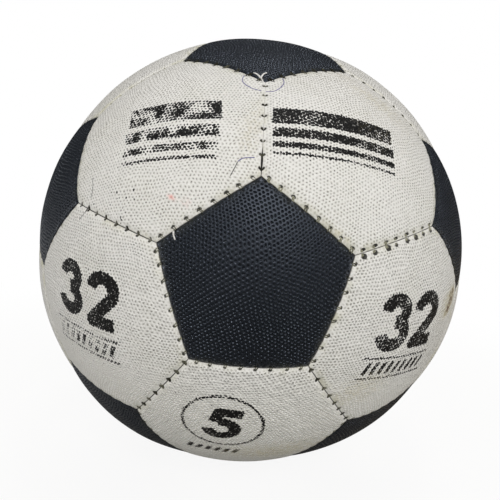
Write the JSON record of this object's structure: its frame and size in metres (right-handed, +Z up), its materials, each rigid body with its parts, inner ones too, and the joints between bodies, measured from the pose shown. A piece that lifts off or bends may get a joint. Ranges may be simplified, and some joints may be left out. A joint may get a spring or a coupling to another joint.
{
  "type": "soccer ball",
  "caption": "Inflatable ball of pentagon and hexagon leather panels stitched edge to edge over a cloth lining and an air bladder, with a needle valve for pumping it up.",
  "frame": {"origin": "centre of the ball", "axes": "+Z up, -Y out through the front pentagon, which has a corner at its top, +Y out through the valve"},
  "size_m": [0.2186, 0.2199, 0.2196],
  "materials": {
    "black_leather": "pebbled, worn matt",
    "white_leather": "pebbled, dirt in the pits",
    "lining_cloth": "woven",
    "sewing_thread": "waxed, grimy",
    "bladder_rubber": "matt",
    "valve_rubber": "matt",
    "plug_rubber": "satin"
  },
  "bodies": {
    "ball": {"pentagon_panel_1": "black_leather", "pentagon_panel_2": "black_leather", "pentagon_panel_3": "black_leather", "pentagon_panel_4": "black_leather", "pentagon_panel_5": "black_leather", "pentagon_panel_6": "black_leather", "pentagon_panel_7": "black_leather", "pentagon_panel_8": "black_leather", "pentagon_panel_9": "black_leather", "pentagon_panel_10": "black_leather", "pentagon_panel_11": "black_leather", "pentagon_panel_12": "black_leather", "hexagon_panel_1": "white_leather", "hexagon_panel_2": "white_leather", "hexagon_panel_3": "white_leather", "hexagon_panel_4": "white_leather", "hexagon_panel_5": "white_leather", "hexagon_panel_6": "white_leather", "hexagon_panel_7": "white_leather", "hexagon_panel_8": "white_leather", "hexagon_panel_9": "white_leather", "hexagon_panel_10": "white_leather", "hexagon_panel_11": "white_leather", "hexagon_panel_12": "white_leather", "hexagon_panel_13": "white_leather", "hexagon_panel_14": "white_leather", "hexagon_panel_15": "white_leather", "hexagon_panel_16": "white_leather", "hexagon_panel_17": "white_leather", "hexagon_panel_18": "white_leather", "hexagon_panel_19": "white_leather", "hexagon_panel_20": "white_leather", "pentagon_linings": "lining_cloth", "hexagon_linings": "lining_cloth", "pentagon_stitches": "sewing_thread", "hexagon_stitches": "sewing_thread", "bladder": "bladder_rubber", "valve_housing": "valve_rubber"},
    "plug": {"valve_plug": "plug_rubber"}
  },
  "joints": [
    {"name": "plug_pull", "type": "slide", "parent": "ball", "child": "plug", "axis": [0, 1, 0], "range_m": [0, 0.022]}
  ]
}
